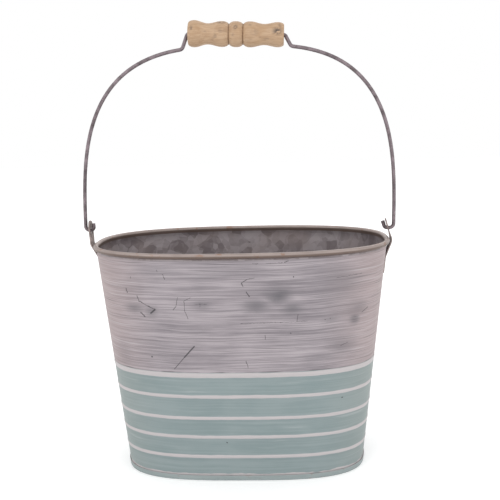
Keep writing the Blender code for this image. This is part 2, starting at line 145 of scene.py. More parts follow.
def select_where(wanted):
    """In edit mode, select the vertices whose place is wanted, and nothing else."""
    bpy.ops.mesh.select_mode(type="VERT")
    bpy.ops.mesh.select_all(action="DESELECT")
    mesh = bpy.context.object.data
    shape = bmesh.from_edit_mesh(mesh)
    for vert in shape.verts:
        vert.select = wanted(vert.co)
    shape.select_flush(True)
    bmesh.update_edit_mesh(mesh)


def draw_profile(name, points):
    """Start from one point and extrude it along a line; the new piece stays in edit mode."""
    bpy.ops.object.select_all(action="DESELECT")
    bpy.ops.mesh.primitive_plane_add(size=0.001)
    piece = bpy.context.object
    piece.name = piece.data.name = name
    bpy.ops.object.mode_set(mode="EDIT")
    bpy.ops.mesh.select_all(action="SELECT")
    bpy.ops.mesh.merge(type="CENTER")
    bpy.ops.transform.translate(value=points[0])
    for before, after in zip(points, points[1:]):
        bpy.ops.mesh.extrude_region_move(TRANSFORM_OT_translate={"value": after - before})
    bpy.ops.mesh.select_all(action="SELECT")
    return piece


def turn_profile(angle, steps, axis=(0, 0, 1)):
    """Spin what is selected, anticlockwise seen from the axis's end; the tool itself counts the
    other way. The last copy is left selected, so spins follow each other."""
    bpy.ops.mesh.spin(steps=steps, angle=-angle, center=(0, 0, 0), axis=axis)


def close_up():
    """Merge doubled points, face everything outwards and leave edit mode."""
    bpy.ops.mesh.select_all(action="SELECT")
    bpy.ops.mesh.remove_doubles(threshold=2e-6)
    bpy.ops.mesh.normals_make_consistent(inside=False)
    bpy.ops.object.mode_set(mode="OBJECT")


def face_away(piece):
    """An open sheet's faces point away from the middle of the bucket."""
    outward = 0.0
    for face in piece.data.polygons:
        outward += face.normal.x * face.center.x + face.normal.y * face.center.y
    if outward < 0:
        piece.data.flip_normals()


def apply_modifier(piece, kind, **settings):
    select_only(piece)
    modifier = piece.modifiers.new(kind.title(), kind)
    for name, value in settings.items():
        setattr(modifier, name, value)
    bpy.ops.object.modifier_apply(modifier=modifier.name)


def thicken(piece, thickness, back_finish=0):
    apply_modifier(piece, "SOLIDIFY", thickness=thickness, offset=0.0, use_even_offset=True,
                   material_offset=back_finish, material_offset_rim=0)


def smooth(piece, degrees=35):
    select_only(piece)
    bpy.ops.object.shade_smooth_by_angle(angle=math.radians(degrees))


def copy_piece(piece, name):
    select_only(piece)
    bpy.ops.object.duplicate()
    copied = bpy.context.object
    copied.name = copied.data.name = name
    return copied


def fit_out(piece, body, node):
    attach(piece, body)
    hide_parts(node)


# ------------------------------------------------------------------ the oval

def oval_sizes(level):
    share = level / PAIL_HEIGHT
    half_x = mix(BASE_HALF_LENGTH, RIM_HALF_LENGTH - RIM_OVERHANG, share) - SHEET / 2
    half_y = mix(BASE_HALF_DEPTH, RIM_HALF_DEPTH - RIM_OVERHANG, share) - SHEET / 2
    return half_x, half_y, mix(BASE_SQUARENESS, RIM_SQUARENESS, share)


def squared_circle(turn, power):
    c, s = math.cos(turn), math.sin(turn)
    reach = (abs(c) ** power + abs(s) ** power) ** (-1 / power)
    return reach * c, reach * s


def oval_point(turn, level, offset, height):
    half_x, half_y, power = oval_sizes(level)
    u, v = squared_circle(turn, power)
    across_x = math.copysign(abs(u) ** (power - 1) / half_x, u)
    across_y = math.copysign(abs(v) ** (power - 1) / half_y, v)
    scale = offset / math.hypot(across_x, across_y)
    return Vector((half_x * u + across_x * scale, half_y * v + across_y * scale, height))


def oval_end(level, y):
    half_x, half_y, power = oval_sizes(level)
    return half_x * (1 - abs(y / half_y) ** power) ** (1 / power)


def arc_turn(turn, distance):
    level, step = PAIL_HEIGHT / 2, 0.001
    span = (oval_point(turn + step, level, 0, 0) - oval_point(turn, level, 0, 0)).length
    return turn + step * distance / span


def round_place(turn, offset, height):
    """Where a point of the oval lies on the round tube of one metre that it is pressed from."""
    return Vector(((1 + offset) * math.cos(turn), (1 + offset) * math.sin(turn), height))


def within_lap_height(height):
    return LAP_FOOT - HAIR <= height <= LAP_TOP + HAIR


def press_oval(piece, tucked_from=None):
    """Press the round tube to the bucket's oval, and tuck the tab in behind the other sheet."""
    for vert in piece.data.vertices:
        x, y, height = vert.co
        turn, offset = math.atan2(y, x), math.hypot(x, y) - 1
        if tucked_from is not None and turn < tucked_from - math.pi:
            turn += math.tau
        if tucked_from is not None and turn < tucked_from and within_lap_height(height):
            offset -= SHEET_PITCH
        level = PAIL_HEIGHT if height > NECK_LEVEL + 1e-5 else height
        vert.co = oval_point(turn, level, offset, height)


# ------------------------------------------------------------------ the body

def wall_profile():
    """Offset and height up the sheet, from its foot over the ribs and round the rolled rim."""
    foot = SHEET_PITCH
    line = [(0.0, foot), (0.0, LAP_FOOT - JOGGLE_HEIGHT), (0.0, LAP_FOOT), (0.0, 0.0135)]
    for level in RIB_LEVELS:
        for i in range(9):
            share = i / 8 - 0.5
            line.append((RIB_PROUD * math.cos(math.pi * share) ** 2, level + share * RIB_WIDTH))
        line.append((0.0, level + 0.0085))
    line.pop()
    top_of_ribs = line[-1][1]
    line += [(0.0, mix(top_of_ribs, LAP_TOP, i / 9)) for i in range(1, 10)]
    line += [(0.0, LAP_TOP + JOGGLE_HEIGHT), (0.0, NECK_LEVEL)]
    for share in (0.3, 0.6, 0.85):
        line.append((mix(-0.0007, -0.0015, share * share * (3 - 2 * share)),
                     mix(NECK_LEVEL, BEAD_LEVEL, share)))
    for i in range(19):
        angle = mix(math.pi, CURL_END_ANGLE, i / 18)
        line.append((BEAD_OFFSET + CURL_RADIUS * math.cos(angle),
                     BEAD_LEVEL + CURL_RADIUS * math.sin(angle)))
    return line


def make_half_sheet():
    """One half of the wall: a ribbed profile spun half round, with a tab that tucks in."""
    outer_edge = arc_turn(SEAM_TURN + math.pi, -GAP / 2)
    before_joggle = arc_turn(SEAM_TURN, GAP / 2 + JOGGLE_LENGTH)
    edge = arc_turn(SEAM_TURN, GAP / 2)
    tab_end = arc_turn(SEAM_TURN, -LAP_LENGTH)
    points = [round_place(outer_edge, offset, height) for offset, height in wall_profile()]
    sheet = draw_profile("back_sheet", points)
    turn_profile(before_joggle - outer_edge, 120)
    turn_profile(edge - before_joggle, 2)
    select_where(lambda p: abs(math.atan2(p.y, p.x) - edge) < 1e-4 and within_lap_height(p.z))
    turn_profile(tab_end - edge, 4)
    close_up()
    press_oval(sheet, tucked_from=edge + 1e-4)
    face_away(sheet)
    return sheet


def make_walls():
    back = make_half_sheet()
    for finish in (worn_whitewash(), spangled_zinc()):
        back.data.materials.append(finish)
    thicken(back, SHEET, back_finish=1)
    # What lies further in than this share of the oval, such as the tab, is bare zinc on both faces.
    bare_share = 0.9965
    for face in back.data.polygons:
        if oval_share(face.center) < bare_share:
            face.material_index = 1
    front = copy_piece(back, "front_sheet")
    front.rotation_euler.z = math.pi
    bpy.ops.object.transform_apply(location=False, rotation=True, scale=False)
    smooth(back)
    smooth(front)
    fit_out(back, "pail", "wall_back")
    fit_out(front, "pail", "wall_front")


def make_rolled_wire():
    """The wire inside the rolled rim: a small circle spun all the way round."""
    points = []
    for i in range(13):
        angle = math.tau * i / 12
        points.append(round_place(0, BEAD_OFFSET + RIM_WIRE_RADIUS * math.cos(angle),
                                  BEAD_LEVEL + RIM_WIRE_RADIUS * math.sin(angle)))
    wire = draw_profile("rolled_wire", points)
    turn_profile(math.tau, OVAL_STEPS)
    close_up()
    press_oval(wire)
    wire.data.materials.append(dull_steel("rim_steel"))
    smooth(wire)
    fit_out(wire, "pail", "rim_wire")


def base_profile():
    """Offset and height from the hem's lip, round the fold and up to the recessed floor."""
    low, bend = SHEET / 2, SHEET_PITCH / 2
    line = [(SHEET_PITCH, HEM_HEIGHT), (SHEET_PITCH, 0.0026), (SHEET_PITCH, low + bend)]
    for side in (1, -1):
        for i in range(1, 6):
            angle = math.pi / 2 * i / 5
            across = bend * math.cos(angle) if side > 0 else -bend * math.sin(angle)
            drop = bend * math.sin(angle) if side > 0 else bend * math.cos(angle)
            line.append((side * bend + across, low + bend - drop))
    line.append((-SHEET_PITCH, FLOOR_RECESS - FLOOR_BEND))
    for i in range(1, 5):
        angle = math.pi / 2 * i / 4
        line.append((-SHEET_PITCH - FLOOR_BEND * (1 - math.cos(angle)),
                     FLOOR_RECESS - FLOOR_BEND * (1 - math.sin(angle))))
    return line


def make_base():
    """The base: its folded hem spun round the foot, then the floor filled in and ringed."""
    points = [round_place(0, offset, height) for offset, height in base_profile()]
    base = draw_profile("folded_base", points)
    turn_profile(math.tau, OVAL_STEPS)
    close_up()
    press_oval(base)
    select_only(base)
    bpy.ops.object.mode_set(mode="EDIT")
    within_hem = 0.985
    select_where(lambda p: p.z > FLOOR_RECESS - HAIR and oval_share(p) < within_hem)
    bpy.ops.mesh.edge_face_add()
    for ring_width in (0.0040, 0.0060):
        bpy.ops.mesh.inset(thickness=ring_width, depth=0.0)
    close_up()
    base.data.materials.append(hem_zinc())
    thicken(base, SHEET)
    smooth(base)
    fit_out(base, "pail", "base_plate")


def oval_share(point):
    """How far out a place is in the wall's middle line at its level: 1 is on the line."""
    half_x, half_y, power = oval_sizes(point.z)
    return (abs(point.x / half_x) ** power + abs(point.y / half_y) ** power) ** (1 / power)


# ------------------------------------------------------------------ the ears

def bent_ear_point(ear, across, height):
    """Reach and level of a place on the flat ear, once bent."""
    knee_below_rim, knee_proud, lean, twist = ear
    knee_level = PAIL_HEIGHT - knee_below_rim
    knee_reach = RIM_HALF_LENGTH + knee_proud - EAR_SHEET / 2
    if height <= -EAR_BEND_BELOW_KNEE:
        level = knee_level + height
        return oval_end(level, across) + EAR_OFFSET, level
    if height <= 0:
        start = oval_end(knee_level - EAR_BEND_BELOW_KNEE, across) + EAR_OFFSET
        return mix(knee_reach, start, -height / EAR_BEND_BELOW_KNEE), knee_level + height
    if height <= EAR_LEAN_ABOVE_KNEE:
        return knee_reach, knee_level + height
    above = height - EAR_LEAN_ABOVE_KNEE
    turned = min(1.0, above / (EAR_HOLE_ABOVE_KNEE - EAR_LEAN_ABOVE_KNEE))
    reach = knee_reach - above * math.sin(lean) + across * math.tan(twist) * turned
    return reach, knee_level + EAR_LEAN_ABOVE_KNEE + above * math.cos(lean)


def eased_ear_point(ear, across, height):
    """The same with the bends rounded over about two sheet thicknesses."""
    steps = [EAR_EASE * i for i in (-2, -1, 0, 1, 2)]
    near = [bent_ear_point(ear, across, height + step) for step in steps]
    reach = sum(place[0] for place in near) / len(near)
    return reach, bent_ear_point(ear, across, height)[1]


def cut_across(point, normal):
    bpy.ops.mesh.select_all(action="SELECT")
    bpy.ops.mesh.bisect(plane_co=point, plane_no=normal, use_fill=False,
                        clear_inner=False, clear_outer=False)


def make_flat_ear():
    """A strap with a round crown and a hole, scored across where it will bend."""
    tip = EAR_HOLE_ABOVE_KNEE + EAR_TIP_ABOVE_HOLE
    middle = (tip - EAR_FOOT_BELOW_KNEE) / 2
    bpy.ops.object.select_all(action="DESELECT")
    bpy.ops.mesh.primitive_plane_add(size=1, rotation=(0, math.pi / 2, 0))
    ear = bpy.context.object
    ear.scale = (tip + EAR_FOOT_BELOW_KNEE, 2 * EAR_HALF_WIDTH, 1)
    ear.location = (0, 0, middle)
    bpy.ops.object.transform_apply(location=True, rotation=True, scale=True)
    bpy.ops.object.mode_set(mode="EDIT")
    select_where(lambda p: p.z > middle)
    bpy.ops.mesh.bevel(offset=EAR_HALF_WIDTH * 0.998, segments=14, affect="VERTICES")
    select_where(lambda p: p.z < -EAR_FOOT_BELOW_KNEE + 1e-5)
    bpy.ops.mesh.bevel(offset=EAR_CORNER, segments=6, affect="VERTICES")
    bpy.ops.mesh.select_all(action="SELECT")
    bpy.ops.mesh.delete(type="ONLY_FACE")
    bpy.ops.mesh.primitive_circle_add(vertices=32, radius=EAR_HOLE_RADIUS,
                                      location=(0, 0, EAR_HOLE_ABOVE_KNEE),
                                      rotation=(0, math.pi / 2, 0))
    bpy.ops.mesh.select_all(action="SELECT")
    bpy.ops.mesh.fill(use_beauty=True)
    for i in range(32):
        height = mix(-EAR_FOOT_BELOW_KNEE, tip, (i + 0.5) / 32)
        cut_across((0, 0, height), (0, 0, 1))
    for share in (-0.66, -0.33, 0.0, 0.33, 0.66):
        cut_across((0, share * EAR_HALF_WIDTH, 0), (0, 1, 0))
    close_up()
    return ear


def make_ears():
    flat = make_flat_ear()
    shapes = (("left_ear", "ear_left", -1, LEFT_EAR), ("right_ear", "ear_right", 1, RIGHT_EAR))
    for name, node, side, shape in shapes:
        ear = copy_piece(flat, name)
        for vert in ear.data.vertices:
            reach, level = eased_ear_point(shape, vert.co.y, vert.co.z)
            vert.co = (side * reach, vert.co.y, level)
        face_away(ear)
        thicken(ear, EAR_SHEET)
        apply_modifier(ear, "BEVEL", width=EAR_EDGE, segments=2, limit_method="ANGLE",
                       angle_limit=math.radians(60))
        ear.data.materials.append(ear_zinc(name + "_zinc"))
        smooth(ear, 30)
        fit_out(ear, "pail", node)
    bpy.data.objects.remove(flat)


# ------------------------------------------------------------------ the bail

def hole_centre(side, ear):
    reach, level = bent_ear_point(ear, 0.0, EAR_HOLE_ABOVE_KNEE)
    return Vector((side * reach, 0, level))


def pivot():
    return (hole_centre(-1, LEFT_EAR) + hole_centre(1, RIGHT_EAR)) / 2


def fillet(before, corner, after, radius):
    """Points of the bend that replaces a corner between two straight runs."""
    to_before = (before - corner).normalized()
    to_after = (after - corner).normalized()
    half_angle = to_before.angle(to_after) / 2
    set_back = radius / math.tan(half_angle)
    middle = (to_before + to_after).normalized()
    centre = corner + middle * (radius / math.sin(half_angle))
    start = corner + to_before * set_back - centre
    axis = start.cross(corner + to_after * set_back - centre)
    sweep = math.pi - 2 * half_angle
    steps = max(4, round(sweep / math.radians(9)))
    return [centre + Matrix.Rotation(sweep * i / steps, 3, axis) @ start for i in range(steps + 1)]


def bend_wire(corners):
    points = [corners[0][0]]
    for before, (corner, inside), after in zip(corners, corners[1:], corners[2:]):
        if inside is None:
            points.append(corner)
        else:
            points += fillet(before[0], corner, after[0], inside + BAIL_WIRE_RADIUS)
    points.append(corners[-1][0])
    return points


def arch_point(side, u, v):
    shift = mix(BAIL_FOOT_SHIFT, BAIL_CROWN_SHIFT, v)
    return Vector((side * BAIL_HALF_WIDTH * u + shift, 0, pivot().z + ARCH_RISE * v))


def arch_above(u):
    return (1 - u ** ARCH_SQUARENESS) ** (1 / ARCH_SQUARENESS)


def grip_centre():
    return Vector((BAIL_CROWN_SHIFT, 0, pivot().z + ARCH_RISE + CRANK_RISE))


def arch_corners(side):
    mouth = GRIP_HALF_LENGTH + MOUTH_OUT
    crank = (mouth + CRANK_SPREAD) / BAIL_HALF_WIDTH
    flat_end = crank + 2 * (CRANK_BEND + BAIL_WIRE_RADIUS) / BAIL_HALF_WIDTH
    first = ARCH_FOOT / ARCH_RISE
    last = math.atan2(arch_above(flat_end), flat_end)
    corners = []
    for i in range(48):
        u, v = squared_circle(mix(first, last, i / 47), ARCH_SQUARENESS)
        corners.append((arch_point(side, u, v), None))
    corners.append((arch_point(side, crank, arch_above(crank)), CRANK_BEND))
    along = Matrix.Rotation(GRIP_TILT, 3, "Y") @ Vector((side * mouth, 0, 0))
    corners.append((grip_centre() + along, MOUTH_BEND))
    return corners


def hook_corners(side, ear):
    hole = hole_centre(side, ear)
    clear = EAR_SHEET / 2 + BAIL_WIRE_RADIUS + HOOK_CLEARANCE
    inner = hole - Vector((side * clear, 0, 0))
    outer = Vector((side * BAIL_HALF_WIDTH + BAIL_FOOT_SHIFT, 0, hole.z))
    tip = inner + Vector((-side * HOOK_RISE * math.tan(ear[2]), 0, HOOK_RISE))
    return [(tip, None), (inner, HOOK_INNER_BEND), (outer, HOOK_OUTER_BEND)]


def make_bail():
    """A round wire drawn along the bail's middle line and made a mesh."""
    left = hook_corners(-1, LEFT_EAR) + arch_corners(-1)
    right = hook_corners(1, RIGHT_EAR) + arch_corners(1)
    points = bend_wire(left + right[::-1])
    line = bpy.data.curves.new("wire_bail", "CURVE")
    line.dimensions = "3D"
    line.bevel_depth = BAIL_WIRE_RADIUS
    line.bevel_resolution = 6
    line.use_fill_caps = True
    spline = line.splines.new("POLY")
    spline.points.add(len(points) - 1)
    for spot, point in zip(spline.points, points):
        spot.co = (*point, 1.0)
    bail = bpy.data.objects.new("wire_bail", line)
    bpy.context.scene.collection.objects.link(bail)
    select_only(bail)
    bpy.ops.object.convert(target="MESH")
    bail = bpy.context.object
    apply_modifier(bail, "BEVEL", width=0.0003, segments=2, limit_method="ANGLE",
                   angle_limit=math.radians(60))
    bail.data.materials.append(dull_steel("bail_steel"))
    smooth(bail, 40)
    fit_out(bail, "bail", "bail_wire")


# ------------------------------------------------------------------ the grip

def grip_side(end_radius):
    """Distance from the middle and radius, down one half of the turned outline."""
    stations = ((0.0, MIDDLE_BEAD_RADIUS), (GROOVE_AT, GROOVE_RADIUS),
                (SHOULDER_AT, MIDDLE_BEAD_RADIUS), (WAIST_AT, WAIST_RADIUS),
                (END_BEAD_AT, end_radius))
    line = []
    for (start, low), (end, high) in zip(stations, stations[1:]):
        for i in range(12):
            share = i / 12
            rise = (1 - math.cos(math.pi * share)) / 2
            if end == GROOVE_AT:
                rise = share ** GROOVE_STEEPNESS
            if start == GROOVE_AT:
                rise = 1 - (1 - share) ** GROOVE_STEEPNESS
            line.append((mix(start, end, share), mix(low, high, rise)))
    for i in range(9):
        angle = math.pi / 2 * i / 8
        line.append((mix(END_BEAD_AT, GRIP_HALF_LENGTH, math.sin(angle)),
                     end_radius - END_FACE_INSET * (1 - math.cos(angle))))
    return line


def make_grip():
    """Turned on the lathe: an outline and its bore spun round the grip's own length."""
    left = [(-along, radius) for along, radius in reversed(grip_side(LEFT_END_RADIUS)[1:])]
    outline = left + grip_side(RIGHT_END_RADIUS)
    outline += [(GRIP_HALF_LENGTH, GRIP_BORE_RADIUS + BORE_CHAMFER),
                (GRIP_HALF_LENGTH - BORE_CHAMFER, GRIP_BORE_RADIUS),
                (-GRIP_HALF_LENGTH + BORE_CHAMFER, GRIP_BORE_RADIUS),
                (-GRIP_HALF_LENGTH, GRIP_BORE_RADIUS + BORE_CHAMFER), outline[0]]
    grip = draw_profile("wooden_grip", [Vector((along, 0, radius)) for along, radius in outline])
    turn_profile(math.tau, 64, axis=(1, 0, 0))
    close_up()
    grip.rotation_euler.y = GRIP_TILT
    grip.location = grip_centre()
    select_only(grip)
    bpy.ops.object.transform_apply(location=True, rotation=True, scale=False)
    grip.data.materials.append(turned_beech())
    smooth(grip, 32)
    fit_out(grip, "grip", "grip")


# ------------------------------------------------------------------ finishes

def tint(red, green, blue):
    """A colour from its everyday 0 to 255 values."""
    def linear(value):
        value /= 255
        return value / 12.92 if value <= 0.04045 else ((value + 0.055) / 1.055) ** 2.4
    return (linear(red), linear(green), linear(blue), 1.0)


class Finish:
    """A finish being mixed: each call adds one node and gives back its result."""

    def __init__(self, name):
        self.material = bpy.data.materials.new(name)
        self.material.use_nodes = True
        self.tree = self.material.node_tree
        self.shader = self.tree.nodes["Principled BSDF"]
        self.place = self.add("TexCoord", {}).outputs["Object"]

    def plug(self, socket, value):
        if isinstance(value, bpy.types.NodeSocket):
            self.tree.links.new(value, socket)
        else:
            socket.default_value = value

    def add(self, kind, sockets, **settings):
        made = self.tree.nodes.new("ShaderNode" + kind)
        for name, value in settings.items():
            setattr(made, name, value)
        for name, value in sockets.items():
            self.plug(made.inputs[name], value)
        return made

    def math(self, operation, *values, clamp=False):
        made = self.add("Math", dict(enumerate(values)), operation=operation, use_clamp=clamp)
        return made.outputs[0]

    def vector(self, operation, *values, out="Vector"):
        return self.add("VectorMath", dict(enumerate(values)), operation=operation).outputs[out]

    def split(self, place):
        return self.add("SeparateXYZ", {0: place}).outputs

    def join(self, x, y, z):
        return self.add("CombineXYZ", {0: x, 1: y, 2: z}).outputs[0]

    def stretched(self, place, scale, shift=(0, 0, 0)):
        return self.add("Mapping", {"Vector": place, "Location": shift, "Scale": scale}).outputs[0]

    def noise(self, place, scale=1.0, detail=2.0, roughness=0.5, distortion=0.0):
        return self.add("TexNoise", {"Vector": place, "Scale": scale, "Detail": detail,
                                     "Roughness": roughness, "Distortion": distortion}).outputs[0]

    def cells(self, place, scale):
        return self.add("TexVoronoi", {"Vector": place, "Scale": scale})

    def ramp(self, value, low, high, start=0.0, end=1.0):
        return self.add("MapRange", {0: value, 1: low, 2: high, 3: start, 4: end},
                        interpolation_type="SMOOTHSTEP").outputs[0]

    def colour(self, share, first, second):
        return self.add("Mix", {0: share, 6: first, 7: second}, data_type="RGBA").outputs[2]

    def relief(self, height, depth, strength=1.0):
        bump = self.add("Bump", {"Height": height, "Distance": depth, "Strength": strength})
        self.plug(self.shader.inputs["Normal"], bump.outputs[0])

    def finish(self, colour, roughness, **fixed):
        self.plug(self.shader.inputs["Base Color"], colour)
        self.plug(self.shader.inputs["Roughness"], roughness)
        for name, value in fixed.items():
            self.shader.inputs[name.replace("_", " ")].default_value = value
        return self.material


def any_of(finish, masks):
    """The strongest of several masks at each place."""
    total = masks[0]
    for mask in masks[1:]:
        total = finish.math("MAXIMUM", total, mask)
    return total


def laid_over(finish, make_mask, place, marks):
    """The same for a list of marks. Each mark's place is nudged, by far too little to see, by the
    marks before it, so they are worked out in turn: all held at once, they would render black."""
    nudge = 1e-9
    total = make_mask(finish, place, marks[0])
    for mark in marks[1:]:
        place = finish.vector("ADD", place, finish.math("MULTIPLY", total, nudge))
        total = finish.math("MAXIMUM", total, make_mask(finish, place, mark))
    return total


def scratch_mask(finish, place, scratch):
    """1 within the scratch's width of the line from its start to its end."""
    x0, z0, x1, z1, width = [0.001 * value for value in scratch]
    run = Vector((x1 - x0, 0, z1 - z0))
    away = finish.vector("SUBTRACT", place, (x0, 0, z0))
    along = finish.vector("DOT_PRODUCT", away, tuple(run / run.length_squared), out="Value")
    along = finish.math("ADD", along, 0.0, clamp=True)
    nearest = finish.add("VectorMath", {0: tuple(run), "Scale": along}, operation="SCALE")
    reach = finish.vector("DISTANCE", away, nearest.outputs[0], out="Value")
    return finish.ramp(reach, width * 0.75, width * 0.25)


def smudge_mask(finish, place, smudge):
    """The smudge's strength in its middle, fading to nothing a little outside its outline."""
    x, z, half_width, half_height, strength = smudge
    shape = (1000 / half_width, 0, 1000 / half_height)
    away = finish.vector("SUBTRACT", place, (x / 1000, 0, z / 1000))
    reach = finish.vector("LENGTH", finish.vector("MULTIPLY", away, shape), out="Value")
    return finish.ramp(reach, 1.35, 0.0, 0.0, strength)


def brushed_place(finish):
    """The place on the wall, with its height made slightly wavy as a brush leaves it."""
    x, y, z = finish.split(finish.place)
    waver = finish.math("SUBTRACT", finish.noise(finish.place, 17, 2), 0.5)
    return finish.join(x, y, finish.math("MULTIPLY_ADD", waver, 0.0035, z))


def front_marks(finish):
    """Masks of the scratches and of the smudges on the front of the wall."""
    x, y, z = finish.split(finish.place)
    jitter = finish.math("SUBTRACT", finish.noise(finish.place, 700, 1), 0.5)
    jitter = finish.math("MULTIPLY", jitter, 0.0011)
    place = finish.join(finish.math("ADD", x, jitter), 0.0, finish.math("ADD", z, jitter))
    on_front = finish.math("LESS_THAN", y, 0.0)
    scratches = laid_over(finish, scratch_mask, place, SCRATCHES)
    smudges = laid_over(finish, smudge_mask, place, SMUDGES)
    return finish.math("MULTIPLY", scratches, on_front), finish.math("MULTIPLY", smudges, on_front)


def rib_mask(finish, height):
    """1 on the painted ribs and on a thin line above the hem, with an uneven edge."""
    edge_noise = finish.noise(finish.stretched(finish.place, (90, 90, 300)), 1, 2)
    uneven = finish.math("SUBTRACT", edge_noise, 0.5)
    stripes = []
    for level in RIB_LEVELS:
        half = TOP_RIB_PAINT_HALF if level == RIB_LEVELS[-1] else RIB_PAINT_HALF
        away = finish.math("ABSOLUTE", finish.math("SUBTRACT", height, level))
        away = finish.math("MULTIPLY_ADD", uneven, 0.0009, away)
        stripes.append(finish.ramp(away, half + PAINT_EDGE, half - PAINT_EDGE))
    at_hem = finish.math("ABSOLUTE", finish.math("SUBTRACT", height, HEM_LINE_LEVEL))
    at_hem = finish.math("MULTIPLY_ADD", uneven, 0.0030, at_hem)
    stripes.append(finish.ramp(at_hem, 0.0011, 0.0005))
    return any_of(finish, stripes)


def worn_whitewash():
    """Brushed and worn white paint, with the pale band and its white ribs below, and painted sheen towards
    both ends.
    """
    finish = Finish("worn_whitewash")
    brushed = brushed_place(finish)
    x, _, z = finish.split(finish.place)
    fine = finish.noise(finish.stretched(brushed, (26, 26, 2300)), 1, 3, 0.65)
    broad = finish.noise(finish.stretched(brushed, (11, 11, 680), (3, 1, 2)), 1, 3)
    cloud = finish.noise(finish.stretched(finish.place, (26, 26, 60), (5, 0, 0)), 1, 3)
    tone = finish.math("MULTIPLY_ADD", fine, 0.45, finish.math("MULTIPLY", broad, 0.30))
    tone = finish.ramp(finish.math("MULTIPLY_ADD", cloud, 0.25, tone), 0.36, 0.64)
    dark_lines = finish.ramp(finish.noise(finish.stretched(brushed, (17, 17, 1900), (1, 7, 3)), 1, 2),
                             0.58, 0.68)
    light_lines = finish.ramp(finish.noise(finish.stretched(brushed, (15, 15, 2000), (8, 2, 5)), 1, 2),
                              0.58, 0.68)
    worn = finish.ramp(cloud, 0.35, 0.70)
    scratches, smudges = front_marks(finish)
    # Painted sheen: the wash and the band turn paler and pinker towards both ends of the oval, where the
    # wall turns away.
    end_sheen = finish.ramp(finish.math("ABSOLUTE", x), 0.055, 0.118)

    wash = finish.colour(tone, WASH_DARK, WASH_LIGHT)
    wash = finish.colour(finish.math("MULTIPLY", end_sheen, 0.55), wash, WASH_END_SHEEN)
    streaks = finish.math("MULTIPLY", dark_lines, finish.math("MULTIPLY_ADD", worn, 0.55, 0.25))
    wash = finish.colour(streaks, wash, WASH_STREAK)
    wash = finish.colour(finish.math("MULTIPLY", light_lines, 0.45), wash, WASH_BRIGHT)
    streaky = finish.ramp(finish.math("ADD", fine, cloud), 0.72, 1.12, 0.25, 1.0)
    smear = finish.math("MULTIPLY", smudges, streaky)
    wash = finish.colour(smear, wash, SMUDGE_GREY)
    groove = finish.math("ABSOLUTE", finish.math("SUBTRACT", z, DARK_LINE_LEVEL))
    broken = finish.noise(finish.stretched(finish.place, (60, 60, 10), (2, 2, 2)), 1, 2)
    broken = finish.ramp(broken, 0.38, 0.60)
    groove = finish.math("MULTIPLY", finish.ramp(groove, 0.0007, 0.0001), broken)
    wash = finish.colour(finish.math("MULTIPLY", groove, 0.8), wash, GROOVE_GREY)

    band_tone = finish.ramp(finish.math("ADD", broad, cloud), 0.75, 1.25)
    band = finish.colour(band_tone, BAND_DARK, BAND_LIGHT)
    band = finish.colour(finish.math("MULTIPLY", end_sheen, 0.55), band, BAND_END_SHEEN)
    rubbed = finish.noise(finish.stretched(brushed, (16, 16, 260), (4, 4, 1)), 1, 3)
    rubbed = finish.ramp(rubbed, 0.60, 0.78)
    band = finish.colour(finish.math("MULTIPLY", rubbed, 0.45), band, BAND_RUBBED)
    band = finish.colour(finish.math("MULTIPLY", light_lines, 0.15), band, BAND_RUBBED)
    ribs = rib_mask(finish, z)
    rib_white = finish.colour(fine, RIB_SHADE, RIB_WHITE)
    band = finish.colour(ribs, band, rib_white)

    below_top = finish.ramp(z, BAND_TOP + PAINT_EDGE, BAND_TOP - PAINT_EDGE)
    paint = finish.colour(below_top, wash, band)
    paint = finish.colour(finish.math("MULTIPLY", scratches, 0.85), paint, SCRATCH_GREY)

    finish.relief(finish.math("MULTIPLY_ADD", fine, 0.7, ribs), 0.00012, 0.7)
    roughness = finish.math("MULTIPLY_ADD", below_top, -0.10, 0.52)
    roughness = finish.math("MULTIPLY_ADD", tone, 0.16, roughness)
    return finish.finish(paint, roughness, Metallic=0.0, Specular_IOR_Level=0.35)


def spangled_zinc():
    """The bright inside, with its crystals, and the rolled rim that is its turned-over edge."""
    finish = Finish("spangled_zinc")
    warp = finish.add("TexNoise", {"Vector": finish.place, "Scale": 45.0, "Detail": 2.0}).outputs[1]
    place = finish.vector("ADD", finish.place, finish.vector("MULTIPLY", warp, (0.012, 0.012, 0.012)))
    big = finish.split(finish.cells(place, 88).outputs["Color"])[0]
    small = finish.split(finish.cells(place, 190).outputs["Color"])[1]
    grain = finish.noise(finish.place, 320, 3)
    tone = finish.math("MULTIPLY_ADD", big, 0.55, finish.math("MULTIPLY", small, 0.30))
    tone = finish.math("MULTIPLY_ADD", grain, 0.25, tone)
    inside = finish.colour(finish.ramp(tone, 0.15, 0.95), ZINC_DARK, ZINC_LIGHT)
    brown = finish.ramp(finish.noise(finish.place, 22, 2), 0.45, 0.70)
    inside = finish.colour(finish.math("MULTIPLY", brown, 0.4), inside, ZINC_BROWN)

    z = finish.split(finish.place)[2]
    bead = finish.colour(finish.noise(finish.stretched(finish.place, (60, 60, 500)), 1, 3),
                         BEAD_DARK, BEAD_LIGHT)
    rust = finish.ramp(finish.noise(finish.stretched(finish.place, (130, 130, 260)), 1, 3), 0.60, 0.70)
    bead = finish.colour(finish.math("MULTIPLY", rust, 0.55), bead, RUST)
    # Painted shade with rust: the lower half of the rolled rim darkens towards a dark rust brown.
    underside_shade_and_rust = finish.ramp(z, BEAD_LEVEL + 0.0008, BEAD_LEVEL - 0.0005)
    bead = finish.colour(finish.math("MULTIPLY", underside_shade_and_rust, 0.80), bead, DARK_RUST_AND_SHADE)
    bead_foot = BEAD_LEVEL - BEAD_TUBE_RADIUS
    on_bead = finish.ramp(z, bead_foot - 0.0010, bead_foot)
    colour = finish.colour(on_bead, inside, bead)
    finish.relief(tone, 0.00005, 0.5)
    roughness = finish.math("MULTIPLY_ADD", tone, 0.22, 0.34)
    return finish.finish(colour, roughness, Metallic=0.45)


